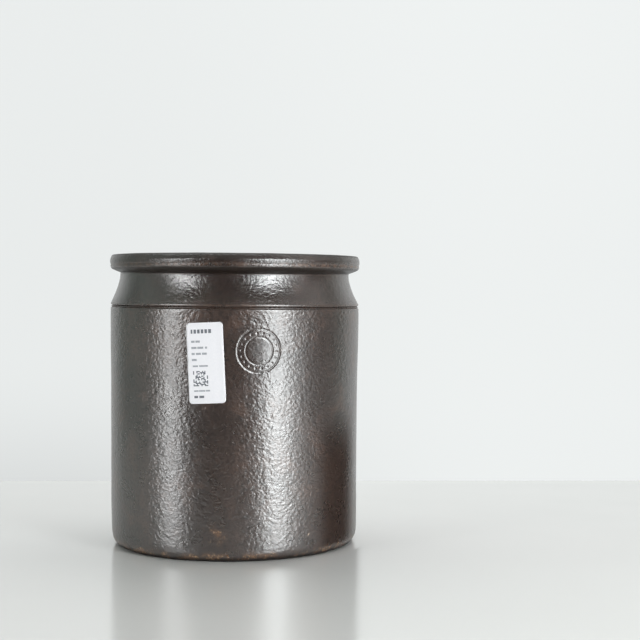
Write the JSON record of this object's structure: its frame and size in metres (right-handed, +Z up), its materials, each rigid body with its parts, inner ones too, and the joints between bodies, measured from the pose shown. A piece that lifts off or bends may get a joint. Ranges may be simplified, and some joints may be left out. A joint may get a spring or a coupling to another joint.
{
  "type": "stoneware crock",
  "caption": "Tall cylindrical salt-glazed stoneware storage crock with a rolled rim, short concave neck and turned shoulder lines, open at the top, with a plain paper label on the front.",
  "frame": {"origin": "centre of the flat base, on the surface that the crock stands on", "axes": "+Z up along the axis of the turned body, -Y towards the labelled front, +X to the right seen from the front"},
  "size_m": [0.2072, 0.2072, 0.238],
  "materials": {
    "salt_glaze": "satin dark brown salt glaze with an orange-peel surface",
    "label_paper": "coated white paper"
  },
  "bodies": {
    "root": {"crock_body": "salt_glaze", "paper_label": "label_paper"}
  },
  "joints": []
}
